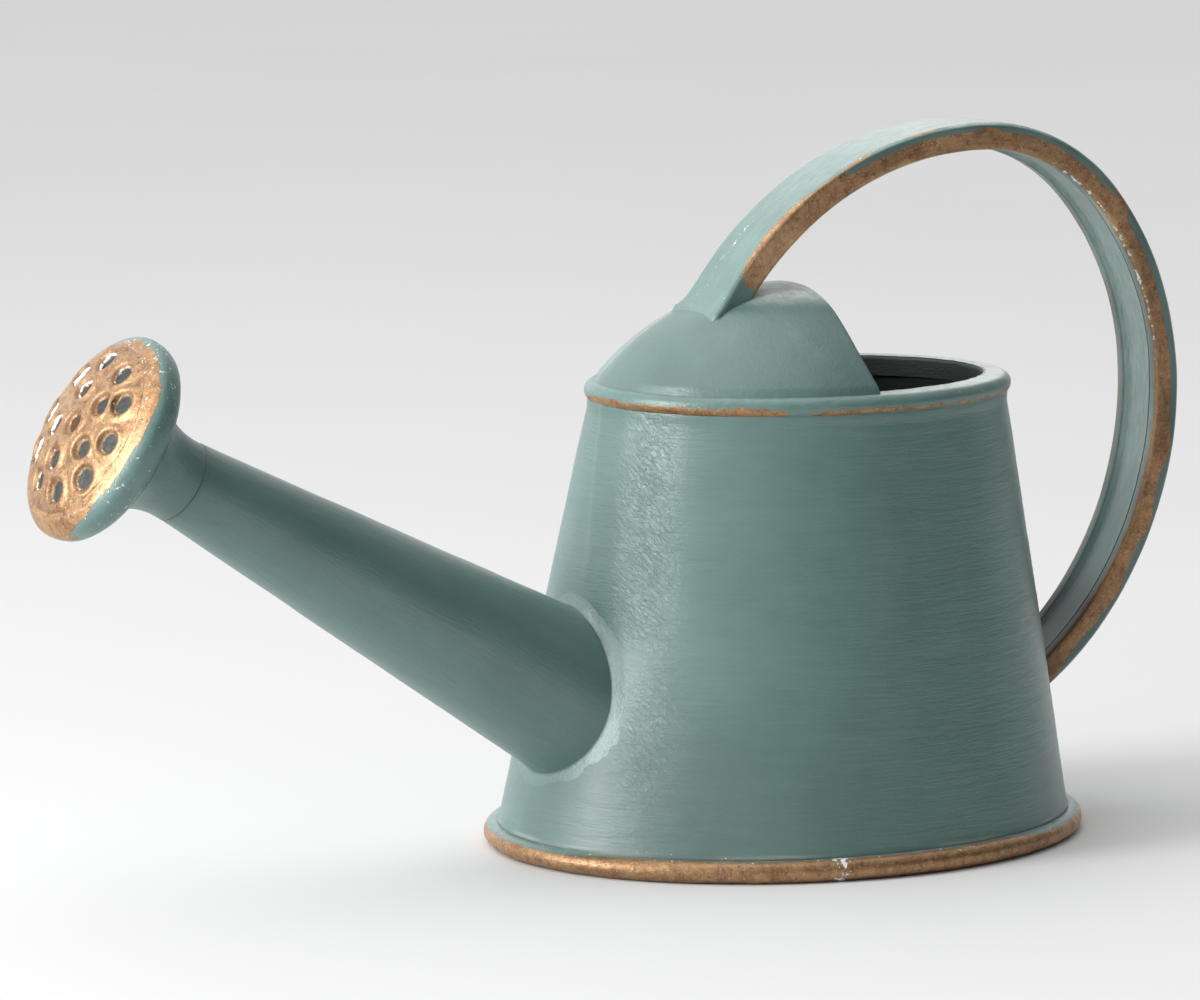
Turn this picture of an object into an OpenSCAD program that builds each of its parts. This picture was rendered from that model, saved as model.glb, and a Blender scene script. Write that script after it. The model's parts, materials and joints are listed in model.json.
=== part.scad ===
// Small oval watering can: tapered body, half hood, strap handle, spout and push-on rose.
// Millimetres. The origin is the centre of the flat base and +Z is up.
// The spout points along -X, the handle stands at +X, and the can is symmetric about y = 0.

/* [Body] */
// Length of the foot ring over its bead
foot_length = 80; // [78:1:84]
// Width of the foot ring over its bead
foot_width = 66; // [64:1:68]
// Height of the foot ring and of the base plate inside it
foot_height = 2.8; // [2.4:0.1:3.4]
// How far the foot bead stands out from the wall
foot_ledge = 1.9; // [1.6:0.1:2.4]
// Length of the rim over its bead
rim_length = 56.8; // [55.6:0.2:58]
// Width of the rim over its bead
rim_width = 46.2; // [45.6:0.2:48]
// Height of the flat land around the mouth
rim_height = 58.6; // [57:0.2:60]
// Height of the rim ring
rim_ring_height = 2.6; // [2.4:0.1:2.8]
// How far the rim bead stands out from the wall
rim_ledge = 0.6; // [0.4:0.1:0.9]
// How far the mouth's centre lies behind the foot's centre
rim_shift = 1.8; // [1.4:0.1:2.2]
// Thickness of the wall
wall_thickness = 2.8; // [2.4:0.1:3]
// Width of the mouth inside the rim's land
mouth_width = 37.4; // [36.6:0.2:38.6]

/* [Hood] */
// How far the hood's open rear edge lies behind the centre of the foot
hood_edge = 0.6; // [0:0.1:1]
// Reach of the hood in front of that edge
hood_length = 25.8; // [25:0.1:25.9]
// Width of the hood along its open rear edge
hood_width = 43; // [41.6:0.2:43.4]
// Height of the crown above the rim
hood_rise = 11.9; // [11:0.1:13]
// Thickness of the hood
hood_thickness = 2; // [1.6:0.1:2.2]
// Fullness of the crown: 1 is round, more makes it pointed
hood_crown = 0.87; // [0.8:0.01:1.1]
// Lean of the hood's sides: 1 is round, more makes them slope
hood_lean = 1.86; // [1.2:0.01:1.9]

/* [Spout] */
// Rise of the spout above the horizontal, in degrees
spout_angle = 29.8; // [27:0.1:32]
// Height at which the spout's axis meets the wall
spout_height = 21.6; // [20:0.2:23]
// Length of the spout from the wall to the rose
spout_length = 59.5; // [55:0.5:63]
// Radius of the spout at the wall
spout_root_radius = 10.1; // [9.4:0.1:10.6]
// Radius of the spout at the rose
spout_tip_radius = 5.2; // [5:0.1:5.5]
// Thickness of the spout's wall
spout_thickness = 1.6; // [1.2:0.1:1.8]
// Width of the collar round the spout's root
collar_width = 1.2; // [0.8:0.1:1.6]
// Height of that collar above the wall
collar_height = 0.9; // [0.6:0.1:1.2]

/* [Rose] */
// Radius of the spigot that the rose pushes onto
spigot_radius = 3.6; // [3.3:0.1:3.8]
// Length of the spigot
spigot_length = 6.5; // [5:0.5:7.5]
// Radial clearance between the spigot and the socket of the rose
spigot_clearance = 0.05; // [0.02:0.01:0.1]
// Length of the flared neck, from the spout to the middle of the rim
neck_length = 12.4; // [11.6:0.1:13.4]
// Radius of the rose over its rim
rose_radius = 13.3; // [12.8:0.1:13.8]
// Radius of the rounded rim of the rose
rose_rim_radius = 1.9; // [1.7:0.1:2]
// How far the face bulges in front of the rim's middle
rose_bulge = 3.9; // [3.6:0.1:4.2]
// Radius of the small holes in the face
hole_radius = 1.3; // [1:0.05:1.4]
// Radius of the dish around each hole
dish_radius = 1.9; // [1.6:0.05:1.95]
// Holes in the inner ring
inner_holes = 5; // [4:1:5]
// Holes in the outer ring
outer_holes = 10; // [6:1:10]

/* [Handle] */
// How far the handle reaches behind the centre of the foot
handle_reach = 57.3; // [56.4:0.1:58]
// Height at which the handle reaches furthest back
handle_back_height = 54; // [53:0.1:55]
// Width of the strap over both edges
handle_width = 9.4; // [8.6:0.2:10]
// Depth of the rolled edges
handle_depth = 3.6; // [3.2:0.1:3.8]
// Width of each rolled edge
edge_width = 1.9; // [1.6:0.1:2.2]
// Thickness of the web between the edges
web_thickness = 2.5; // [2:0.1:2.6]
// Radius of the bend below the handle's rearmost point
lower_bend = 46.2; // [45.4:0.1:47]
// Radius of the bend above the rearmost point
back_bend = 40.3; // [39.4:0.1:41.2]
// Radius of the tight bend at the rear of the top
shoulder_bend = 27.4; // [26.8:0.1:28]
// Radius of the bend that runs down to the hood
front_bend = 45.4; // [44.8:0.1:46]

/* [Hidden] */

TEAL = [0.42, 0.54, 0.52];
TEAL_SHADE = [0.33, 0.43, 0.41];
GOLD = [0.66, 0.47, 0.30];

// Steps round each oval, and facets of the round solids
OVAL_STEPS = 96;
$fn = 96;
// Steps of a bead's half circle
BEAD_STEPS = 8;
// How far a cutter runs past the face that it cuts
OVERRUN = 1;

// The wall's outer oval at the foot and at the rim: half length, half width, shift, height
wall_foot = [foot_length / 2 - foot_ledge, foot_width / 2 - foot_ledge, 0, foot_height];
wall_rim = [
    rim_length / 2 - rim_ledge, rim_width / 2 - rim_ledge, rim_shift, rim_height - rim_ring_height
];

// Where the spout's axis meets the wall, and where the rose's rim lies along that axis
wall_lean = (spout_height - foot_height) / (wall_rim[3] - foot_height);
spout_x = rim_shift * wall_lean - (wall_foot[0] + (wall_rim[0] - wall_foot[0]) * wall_lean);
// The tube starts this far inside the wall and is cut back to the wall's curved face
SPOUT_ROOT = 8;
rim_station = spout_length + neck_length;

// The rose's face is a dome through its centre and the middle of the rim
face_radius = rose_radius - rose_rim_radius;
dome_radius = (face_radius * face_radius + rose_bulge * rose_bulge) / (2 * rose_bulge);
FACE_THICKNESS = 1.4;
NECK_THICKNESS = 1.4;
// Slope of the inner and outer rings of holes on the dome, in degrees
INNER_RING_SLOPE = 15.4;
OUTER_RING_SLOPE = 27.5;

// The handle turns from its lower end, through its rearmost point at 0 degrees, to its front end
HANDLE_START = -64;
HANDLE_END = 156;
HANDLE_STEP = 4;
SHOULDER_START = 41.2;
SHOULDER_END = 88.3;
// Its four bends are tangent to each other, and each is [centre x, centre z, radius]
lower = [handle_reach - lower_bend, handle_back_height, lower_bend];
back = [handle_reach - back_bend, handle_back_height, back_bend];
shoulder = next_bend(back, shoulder_bend, SHOULDER_START);
front = next_bend(shoulder, front_bend, SHOULDER_END);

function next_bend(bend, radius, turn) = [
    bend[0] + (bend[2] - radius) * cos(turn),
    bend[1] + (bend[2] - radius) * sin(turn),
    radius
];

function bend_at(turn) =
    turn < 0 ? lower : turn < SHOULDER_START ? back : turn < SHOULDER_END ? shoulder : front;

// An oval is [half length, half width, shift, height]
function grown(oval, by, height) = [oval[0] + by, oval[1] + by, oval[2], height];

function oval_points(ovals) = [
    for (oval = ovals)
        for (i = [0:OVAL_STEPS - 1])
            [
                oval[2] + oval[0] * cos(360 * i / OVAL_STEPS),
                oval[1] * sin(360 * i / OVAL_STEPS),
                oval[3]
            ]
];

// Two triangles between neighbouring points of rows low and high
function band_faces(low, high) = [
    for (i = [0:OVAL_STEPS - 1])
        let (next = (i + 1) % OVAL_STEPS)
            each [
                [low * OVAL_STEPS + i, high * OVAL_STEPS + i, high * OVAL_STEPS + next],
                [low * OVAL_STEPS + i, high * OVAL_STEPS + next, low * OVAL_STEPS + next]
            ]
];

// A ring through a closed loop of ovals, listed up the outside and down the inside
module oval_ring(ovals) {
    rows = len(ovals);
    polyhedron(oval_points(ovals), [for (r = [0:rows - 1]) each band_faces(r, (r + 1) % rows)]);
}

// A solid between a lower and an upper oval
module oval_block(lower, upper) {
    bottom = [for (i = [0:OVAL_STEPS - 1]) i];
    top = [for (i = [0:OVAL_STEPS - 1]) 2 * OVAL_STEPS - 1 - i];
    polyhedron(oval_points([lower, upper]), [bottom, top, each band_faces(0, 1)]);
}

// The space inside the wall's outer face, drawn out by grow
module wall_space(grow) {
    slope = (wall_rim - wall_foot) / (wall_rim[3] - wall_foot[3]);
    below = wall_foot - slope * foot_height;
    oval_block(grown(below, grow, 0), grown(wall_rim, grow, wall_rim[3]));
}

// A ring with a rounded outer side, between the oval's reach outwards and an inner oval
module bead_ring(oval, inner, base, tall, reach) {
    r = tall / 2;
    arc = [
        for (i = [0:BEAD_STEPS])
            let (turn = -90 + 180 * i / BEAD_STEPS)
                grown(oval, reach - r + r * cos(turn), base + r + r * sin(turn))
    ];
    oval_ring([grown(inner, 0, base), each arc, grown(inner, 0, base + tall)]);
}

// One point of a dome's skin: turn runs round the rim, rise climbs from 0 to 90 at the crown
function dome_point(size, at, turn, rise) = [
    at[0] - size[0] * cos(turn) * pow(cos(rise), hood_crown),
    size[1] * sin(turn) * pow(cos(rise), hood_crown),
    at[1] + size[2] * pow(sin(rise), hood_lean)
];

// The front half of a dome, closed by its base and by a flat rear face. at is [x, z] of the centre
module half_dome(size, at) {
    turns = 36;
    rises = 12;
    row = turns + 1;
    crown = row * rises;
    centre = crown + 1;
    points = [
        for (j = [0:rises - 1])
            for (i = [0:turns])
                dome_point(size, at, -90 + 180 * i / turns, 90 * j / rises),
        [at[0], 0, at[1] + size[2]],
        [at[0], 0, at[1]]
    ];
    skin = [
        for (j = [0:rises - 2])
            for (i = [0:turns - 1])
                each [
                    [j * row + i, j * row + i + 1, (j + 1) * row + i + 1],
                    [j * row + i, (j + 1) * row + i + 1, (j + 1) * row + i]
                ]
    ];
    top = [for (i = [0:turns - 1]) [(rises - 1) * row + i, (rises - 1) * row + i + 1, crown]];
    base = [for (i = [0:turns - 1]) [i + 1, i, centre]];
    left = [for (j = [0:rises - 1]) [j * row, j < rises - 1 ? (j + 1) * row : crown, centre]];
    right = [
        for (j = [0:rises - 1])
            [j < rises - 1 ? (j + 1) * row + turns : crown, j * row + turns, centre]
    ];
    polyhedron(points, [each skin, each top, each base, each left, each right]);
}

// The hood's outer shape, drawn out by grow
module hood_space(grow) {
    half_dome(
        [hood_length + grow, hood_width / 2 + grow, hood_rise + grow],
        [hood_edge, rim_height]
    );
}

// Puts the Z axis along the spout, with z = 0 on the wall
module on_spout_axis() {
    translate([spout_x, 0, spout_height]) rotate([0, spout_angle - 90, 0]) children();
}

// Radius of the spout's outside at a distance from the wall
function spout_radius(station) =
    spout_root_radius + (spout_tip_radius - spout_root_radius) * station / spout_length;

// The solid cone of the spout's outside, drawn out by grow
module spout_space(grow) {
    translate([0, 0, -SPOUT_ROOT])
        cylinder(
            h = spout_length + SPOUT_ROOT,
            r1 = spout_radius(-SPOUT_ROOT) + grow,
            r2 = spout_tip_radius + grow
        );
}

// The round rim of the rose, as a full ring
module rose_ring() {
    translate([0, 0, rim_station])
        rotate_extrude() translate([face_radius, 0]) circle(r = rose_rim_radius);
}

// The domed shell of the rose's face, before its holes
module face_shell() {
    translate([0, 0, rim_station + rose_bulge - dome_radius])
        difference() {
            intersection() {
                sphere(r = dome_radius);
                translate([0, 0, dome_radius - rose_bulge])
                    cylinder(h = rose_bulge + OVERRUN, r = face_radius);
            }
            sphere(r = dome_radius - FACE_THICKNESS);
        }
}

// Places a cutter on the rose's dome, at a slope from the axis and a turn round it
module on_face(slope, turn) {
    translate([0, 0, rim_station + rose_bulge - dome_radius])
        rotate([0, 0, turn]) rotate([0, slope, 0]) translate([0, 0, dome_radius]) children();
}

// A small hole with a dished mouth, standing on the face
module dished_hole() {
    depth = 2.5 * FACE_THICKNESS;
    dish_depth = 0.8;
    rotate_extrude()
        polygon([
            [0, -depth], [hole_radius, -depth], [hole_radius, -dish_depth],
            [2 * dish_radius - hole_radius, dish_depth], [0, dish_depth]
        ]);
}

// Sweeps a profile of [depth, across] points along the handle. Depth 0 is the outer line
module along_handle(profile) {
    count = len(profile);
    steps = (HANDLE_END - HANDLE_START) / HANDLE_STEP;
    points = [
        for (step = [0:steps])
            let (turn = HANDLE_START + HANDLE_STEP * step, bend = bend_at(turn))
                for (p = profile)
                    [
                        bend[0] + (bend[2] - p[0]) * cos(turn),
                        p[1],
                        bend[1] + (bend[2] - p[0]) * sin(turn)
                    ]
    ];
    sides = [
        for (step = [0:steps - 1])
            for (i = [0:count - 1])
                let (a = step * count + i, b = step * count + (i + 1) % count)
                    each [[a, b, b + count], [a, b + count, a + count]]
    ];
    start = [for (i = [0:count - 1]) count - 1 - i];
    end = [for (i = [0:count - 1]) steps * count + i];
    polyhedron(points, [start, end, each sides]);
}

// Cuts a handle piece off at the hood and at the wall
module between_feet() {
    difference() {
        children();
        wall_space(0);
        hood_space(0);
    }
}

// Profile of a rolled edge: a slot shape, centred across at the given place
function edge_profile(across) =
    let (r = edge_width / 2)
        [
            for (turn = [0:30:180]) [r - r * sin(turn), across - r * cos(turn)],
            for (turn = [0:30:180]) [handle_depth - r + r * sin(turn), across + r * cos(turn)]
        ];

// Profile of the web, slightly crowned on its outer side
function web_profile() =
    let (half = handle_width / 2 - edge_width, sides = 0.5, crown = 0.2)
        [
            [sides, -half], [crown, 0], [sides, half],
            [sides + web_thickness, half], [sides + web_thickness, -half]
        ];

module handle_edge(side) {
    between_feet() along_handle(edge_profile(side * (handle_width - edge_width) / 2));
}

module base_plate() {
    color(TEAL_SHADE) oval_block(grown(wall_foot, 0, 0), wall_foot);
}

module body_wall() {
    color(TEAL)
        difference() {
            oval_ring([
                wall_foot, wall_rim, grown(wall_rim, -wall_thickness, wall_rim[3]),
                grown(wall_foot, -wall_thickness, foot_height)
            ]);
            on_spout_axis()
                translate([0, 0, -3 * SPOUT_ROOT])
                    cylinder(h = 4 * SPOUT_ROOT, r = spout_root_radius - 2 * spout_thickness);
        }
}

module foot_ring() {
    color(GOLD) bead_ring(wall_foot, wall_foot, 0, foot_height, foot_ledge);
}

module rim_ring() {
    mouth = [wall_rim[0] - wall_thickness, mouth_width / 2, rim_shift, 0];
    color(GOLD) bead_ring(wall_rim, mouth, wall_rim[3], rim_ring_height, rim_ledge);
}

module hood() {
    color(TEAL)
        difference() {
            hood_space(0);
            half_dome(
                [
                    hood_length - hood_thickness + OVERRUN,
                    hood_width / 2 - hood_thickness,
                    hood_rise - hood_thickness + OVERRUN
                ],
                [hood_edge + OVERRUN, rim_height - OVERRUN]
            );
        }
}

module spout_tube() {
    color(TEAL)
        difference() {
            on_spout_axis()
                difference() {
                    union() {
                        spout_space(0);
                        cylinder(h = spout_length + spigot_length, r = spigot_radius);
                    }
                    translate([0, 0, -2 * SPOUT_ROOT])
                        cylinder(
                            h = spout_length + 2 * SPOUT_ROOT,
                            r1 = spout_root_radius - 2 * spout_thickness,
                            r2 = spigot_radius - spout_thickness
                        );
                    cylinder(
                        h = spout_length + spigot_length + OVERRUN,
                        r = spigot_radius - spout_thickness
                    );
                }
            wall_space(0);
        }
}

module spout_collar() {
    color(TEAL)
        difference() {
            intersection() {
                wall_space(collar_height);
                on_spout_axis() spout_space(collar_width);
            }
            wall_space(0);
            on_spout_axis() spout_space(0);
        }
}

module rose_neck() {
    bore = spigot_radius + spigot_clearance;
    seat = spout_length + spigot_clearance;
    // The flare is a quarter of an ellipse from the waist out to the rim
    waist = spout_tip_radius;
    flare_start = spout_length + 0.12 * neck_length;
    flare_end = rim_station - 0.6 * rose_rim_radius;
    flare_out = face_radius - waist;
    flare = [
        for (turn = [0:10:90])
            [
                waist + flare_out * (1 - cos(turn)),
                flare_start + (flare_end - flare_start) * sin(turn)
            ]
    ];
    inside = [
        for (turn = [80:-10:0])
            [
                max(bore, waist - NECK_THICKNESS + flare_out * (1 - cos(turn))),
                flare_start + NECK_THICKNESS + (flare_end - flare_start) * sin(turn)
            ]
    ];
    color(TEAL)
        on_spout_axis()
            difference() {
                rotate_extrude()
                    polygon([
                        [bore, seat], [waist, seat], each flare,
                        [face_radius, rim_station], [face_radius - NECK_THICKNESS, rim_station],
                        each inside, [bore, seat + spigot_length + 0.5]
                    ]);
                rose_ring();
                face_shell();
            }
}

module rose_rim() {
    color(GOLD) on_spout_axis() rose_ring();
}

module rose_face() {
    color(GOLD)
        on_spout_axis()
            difference() {
                face_shell();
                rose_ring();
                on_face(0, 0) dished_hole();
                for (i = [0:inner_holes - 1])
                    on_face(INNER_RING_SLOPE, 360 * (i + 0.5) / inner_holes) dished_hole();
                for (i = [0:outer_holes - 1])
                    on_face(OUTER_RING_SLOPE, 360 * (i + 0.5) / outer_holes) dished_hole();
            }
}

module handle_strap() {
    color(TEAL) between_feet() along_handle(web_profile());
}

module handle_edge_left() {
    color(GOLD) handle_edge(-1);
}

module handle_edge_right() {
    color(GOLD) handle_edge(1);
}

base_plate();
body_wall();
foot_ring();
rim_ring();
hood();
spout_tube();
spout_collar();
rose_neck();
rose_rim();
rose_face();
handle_strap();
handle_edge_left();
handle_edge_right();
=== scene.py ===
"""Looks of a small hand-painted watering can: satin teal paint, brushed gold edges, worn high spots,
painted highlights on tops and painted shade in hollows and insides.

Shapes are made in millimetres in the CAD frame and turned to metres when each mesh is made.
"""

import json
import math

import bmesh
import bpy
import numpy as np
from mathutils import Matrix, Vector
from mathutils.geometry import delaunay_2d_cdt


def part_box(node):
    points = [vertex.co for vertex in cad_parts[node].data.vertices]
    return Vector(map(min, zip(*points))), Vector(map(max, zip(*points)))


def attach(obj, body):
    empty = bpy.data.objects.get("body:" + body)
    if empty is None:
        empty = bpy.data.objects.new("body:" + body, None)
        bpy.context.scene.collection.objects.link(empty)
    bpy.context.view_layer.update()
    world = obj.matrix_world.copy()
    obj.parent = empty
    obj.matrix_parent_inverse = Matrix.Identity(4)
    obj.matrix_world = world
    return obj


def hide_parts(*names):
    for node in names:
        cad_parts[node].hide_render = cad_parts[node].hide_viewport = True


MM = 0.001

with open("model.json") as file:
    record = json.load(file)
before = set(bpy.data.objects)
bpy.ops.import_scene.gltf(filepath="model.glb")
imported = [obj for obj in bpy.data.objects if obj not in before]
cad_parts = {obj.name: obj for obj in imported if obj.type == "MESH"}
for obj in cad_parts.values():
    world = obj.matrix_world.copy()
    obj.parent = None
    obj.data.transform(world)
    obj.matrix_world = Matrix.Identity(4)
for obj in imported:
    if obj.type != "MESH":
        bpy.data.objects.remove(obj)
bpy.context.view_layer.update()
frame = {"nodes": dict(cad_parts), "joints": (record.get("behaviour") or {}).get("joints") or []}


# ---------------- numbers from the frame


def box_mm(node):
    """Lowest and highest corner of a CAD node in millimetres."""
    low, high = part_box(node)
    return np.array(low) / MM, np.array(high) / MM


wall_low, wall_high = box_mm("body_wall")
foot_low, foot_high = box_mm("foot_ring")
rim_low, rim_high = box_mm("rim_ring")
hood_low, hood_high = box_mm("hood")
strap_high = box_mm("handle_edge_left")[1]
rose_low, rose_high = box_mm("rose_rim")

# The CAD's own sizes that no box shows, in millimetres
RIM_LEDGE = 0.6
WALL_THICKNESS = 2.8
MOUTH_HALF_WIDTH = 18.7
SPOUT_LENGTH = 59.5
ROOT_RADIUS = 10.1
TIP_RADIUS = 5.2
SPOUT_THICKNESS = 1.6
SPIGOT_RADIUS = 3.6
SPIGOT_LENGTH = 6.5
NECK_LENGTH = 12.4

# An oval is half length, half width, shift along x, height
wall_foot = np.array([wall_high[0], wall_high[1], 0.0, wall_low[2]])
rim_shift = (rim_low[0] + rim_high[0]) / 2
rim_half = np.array([(rim_high[0] - rim_low[0]) / 2, (rim_high[1] - rim_low[1]) / 2])
wall_rim = np.array([rim_half[0] - RIM_LEDGE, rim_half[1] - RIM_LEDGE, rim_shift, wall_high[2]])
mouth_half = np.array([rim_half[0] - RIM_LEDGE - WALL_THICKNESS, MOUTH_HALF_WIDTH])

# The spout's axis, and the sideways and upward directions square to it
AXIS = np.array(frame["joints"][0]["axis"], float)
AXIS /= np.linalg.norm(AXIS)
SIDE = np.array([0.0, 1.0, 0.0])
UP = np.array([AXIS[2], 0.0, -AXIS[0]])
spout_origin = (rose_low + rose_high) / 2 - AXIS * (SPOUT_LENGTH + NECK_LENGTH)
BORE_RADIUS = SPIGOT_RADIUS - SPOUT_THICKNESS
INLET_RADIUS = 6.9


# ---------------- helpers


def smooth(x):
    """Smooth step of x from 0 to 1."""
    x = np.clip(x, 0, 1)
    return x * x * (3 - 2 * x)


def bell(x, width):
    """A soft bump, 1 at x = 0."""
    return np.exp(-((x / width) ** 2))


def around(columns):
    """Even turns round a circle, in radians."""
    return np.radians(np.arange(columns) * 360 / columns)


def turn_from(turn_deg, centre):
    """Angle from centre to turn_deg, between -180 and 180 degrees."""
    return (turn_deg - centre + 180) % 360 - 180


# Large odd numbers that scatter the cells of the noise, and the largest 32-bit word
CELL_STEPS = (73856093, 19349663, 83492791)
SEED_STEP = 2654435
SCATTER = (1274126177, 2246822519)
WORD = 0xFFFFFFFF
SHORT = 0xFFFF


def noise(points, size, seed):
    """Smooth noise between -1 and 1, with features of this size in millimetres."""
    p = np.asarray(points, float) / size
    cell = np.floor(p).astype(np.int64)
    f = p - cell
    f = f * f * f * (f * (f * 6 - 15) + 10)
    total = np.zeros(p.shape[:-1])
    for corner in np.ndindex(2, 2, 2):
        c = cell + np.array(corner)
        h = c[..., 0] * CELL_STEPS[0] ^ c[..., 1] * CELL_STEPS[1] ^ c[..., 2] * CELL_STEPS[2]
        h = ((h ^ seed * SEED_STEP) & WORD) * SCATTER[0] & WORD
        h = (h ^ (h >> 15)) * SCATTER[1] & WORD
        h = (h ^ (h >> 13)) & SHORT
        weight = np.prod(np.where(np.array(corner) == 1, f, 1 - f), axis=-1)
        total += weight * (h / (SHORT / 2) - 1)
    return total


def fractal(points, size, seed, octaves=3):
    """Noise of several sizes, each half as large and half as strong as the last."""
    points = np.asarray(points, float)
    return sum(noise(points, size / 2**k, seed + 17 * k) / 2**k for k in range(octaves))


def grid_faces(rows, columns, wrap_rows, wrap_columns):
    """Quads of a grid of points, closed in either direction if asked."""
    r = np.arange(rows if wrap_rows else rows - 1)
    c = np.arange(columns if wrap_columns else columns - 1)
    r, c = np.meshgrid(r, c, indexing="ij")
    r2, c2 = (r + 1) % rows, (c + 1) % columns
    quads = [r * columns + c, r * columns + c2, r2 * columns + c2, r2 * columns + c]
    return np.stack(quads, -1).reshape(-1, 4)


# What each point of a mesh carries for the paint, and its value where a piece says nothing:
# gold is above 0 inside the gold, wear is how likely the paint is to be chipped, the third
# is pale and rubbed paint together with painted highlights and painted light on tops, crests
# and faces turned from the lamps, the fourth is painted shade in insides, hollows, creases and
# under parts together with some dirt and dark joints, and thick is paint dabbed on
NO_GOLD = -9.0
FIELDS = {"gold": NO_GOLD, "wear": 0.0, "pale_paint_and_highlight": 0.0, "shade_and_dirt": 0.0, "thick": 0.0}


def put(name, data):
    """A new object in the scene."""
    made = bpy.data.objects.new(name, data)
    bpy.context.scene.collection.objects.link(made)
    return made


def new_mesh(name, points, faces):
    """A mesh from points in millimetres."""
    mesh = bpy.data.meshes.new(name)
    mesh.from_pydata((points * MM).tolist(), [], [list(map(int, f)) for f in faces])
    return mesh


def mend(mesh):
    """Merges doubled points and turns every face outwards."""
    bm = bmesh.new()
    bm.from_mesh(mesh)
    bmesh.ops.remove_doubles(bm, verts=bm.verts, dist=1e-7)
    bmesh.ops.dissolve_degenerate(bm, edges=bm.edges, dist=1e-8)
    bmesh.ops.recalc_face_normals(bm, faces=bm.faces)
    bm.to_mesh(mesh)
    bm.free()


def piece(name, points, faces, body, replaced, material, fields, sharp=50):
    """Makes a closed mesh with its painted fields, and puts it in place.

    Points are in millimetres. Without faces they are a grid that closes both ways.
    """
    if faces is None:
        faces = grid_faces(*points.shape[:2], True, True)
    points = points.reshape(-1, 3)
    mesh = new_mesh(name, points, faces)
    # Stroke coordinates, squeezed along the way that the brush ran
    for key in ("flow", "dab"):
        value = np.asarray(fields.get(key, points), np.float32)
        mesh.attributes.new(key, "FLOAT_VECTOR", "POINT").data.foreach_set("vector", value.ravel())
    for key, absent in FIELDS.items():
        value = np.zeros(len(points), np.float32)
        value[:] = np.asarray(fields.get(key, absent)).reshape(-1)
        mesh.attributes.new(key, "FLOAT", "POINT").data.foreach_set("value", value)
    mend(mesh)
    mesh.polygons.foreach_set("use_smooth", [True] * len(mesh.polygons))
    mesh.set_sharp_from_angle(angle=math.radians(sharp))
    mesh.materials.append(material)
    made = put(name, mesh)
    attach(made, body)
    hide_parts(*replaced)
    return made


# ---------------- materials


class Shader:
    """Builds the nodes of one material or world."""

    def __init__(self, owner):
        self.owner = owner
        owner.use_nodes = True
        self.tree = owner.node_tree
        self.tree.nodes.clear()

    def node(self, kind, inputs, **settings):
        made = self.tree.nodes.new("ShaderNode" + kind)
        for key, value in settings.items():
            setattr(made, key, value)
        for key, value in inputs.items():
            socket = made.inputs[key]
            if isinstance(value, bpy.types.NodeSocket):
                self.tree.links.new(value, socket)
            else:
                socket.default_value = value
        return made

    def field(self, name):
        return self.node("Attribute", {}, attribute_name=name).outputs

    def math(self, operation, a, b, clamp=False):
        made = self.node("Math", {0: a, 1: b}, operation=operation, use_clamp=clamp)
        return made.outputs[0]

    def add(self, a, b):
        return self.math("ADD", a, b)

    def times(self, a, b):
        return self.math("MULTIPLY", a, b)

    def less(self, a, b):
        return self.math("SUBTRACT", a, b)

    def noise(self, vector, scale, detail=3.0, roughness=0.55, distortion=0.0):
        inputs = {
            "Vector": vector,
            "Scale": scale,
            "Detail": detail,
            "Roughness": roughness,
            "Distortion": distortion,
        }
        return self.node("TexNoise", inputs).outputs["Fac"]

    def step(self, value, low, high):
        """Smooth step of value between low and high; low may be the larger."""
        inputs = {"Value": value, "From Min": low, "From Max": high}
        made = self.node("MapRange", inputs, interpolation_type="SMOOTHSTEP")
        return made.outputs["Result"]

    def span(self, value, low, high):
        """Spreads a value from 0 to 1 over low to high."""
        inputs = {"Value": value, "To Min": low, "To Max": high}
        return self.node("MapRange", inputs).outputs["Result"]

    def mix(self, factor, a, b):
        made = self.node("Mix", {0: factor, 6: a, 7: b}, data_type="RGBA")
        return made.outputs[2]

    def blend(self, factor, a, b):
        return self.node("Mix", {0: factor, 2: a, 3: b}, data_type="FLOAT").outputs[0]

    def bump(self, height, distance, strength=1.0, normal=None):
        inputs = {"Height": height, "Distance": distance, "Strength": strength}
        if normal is not None:
            inputs["Normal"] = normal
        return self.node("Bump", inputs).outputs["Normal"]

    def finish(self, **inputs):
        keys = {k.replace("_", " "): v for k, v in inputs.items()}
        shader = self.node("BsdfPrincipled", keys)
        self.node("OutputMaterial", {0: shader.outputs[0]})
        return self.owner


def rgb(r, g, b):
    """A display colour from 0 to 255 as linear red, green, blue and alpha."""

    def linear(v):
        v /= 255
        return v / 12.92 if v <= 0.04045 else ((v + 0.055) / 1.055) ** 2.4

    return (linear(r), linear(g), linear(b), 1.0)


TEAL = rgb(88, 119, 114)
TEAL_LIGHT = rgb(105, 137, 131)
TEAL_DARK = rgb(76, 104, 100)
SHADE_AND_DIRT_TEAL = rgb(15, 23, 23)
GOLD = rgb(196, 154, 110)
GOLD_BROWN = rgb(152, 110, 76)
GOLD_LIGHT = rgb(238, 210, 172)
UMBER = rgb(84, 64, 46)
FILLER = rgb(224, 229, 225)
RUBBED_AND_SHEEN = rgb(206, 214, 210)
DAB_HIGHLIGHT_COLOUR = rgb(186, 204, 199)

# Where each mark of the paint fades in, from the first level of its noise to the second
LIGHT_AT = (0.42, 0.66)
SHADE_AT = (0.50, 0.34)
SPECKS_AT = (0.66, 0.74)
STREAKS_AT = (0.36, 0.62)
DABS_AT = (0.40, 0.72)
GOLD_AT = (-0.10, 0.16)
SKIPS_AT = (0.64, 0.70)
BROWN_AT = (0.62, 0.32)
GLINTS_AT = (0.52, 0.74)
SOOT_AT = (0.47, 0.35)
CHIPS_AT = (0.0, 0.03)

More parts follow.
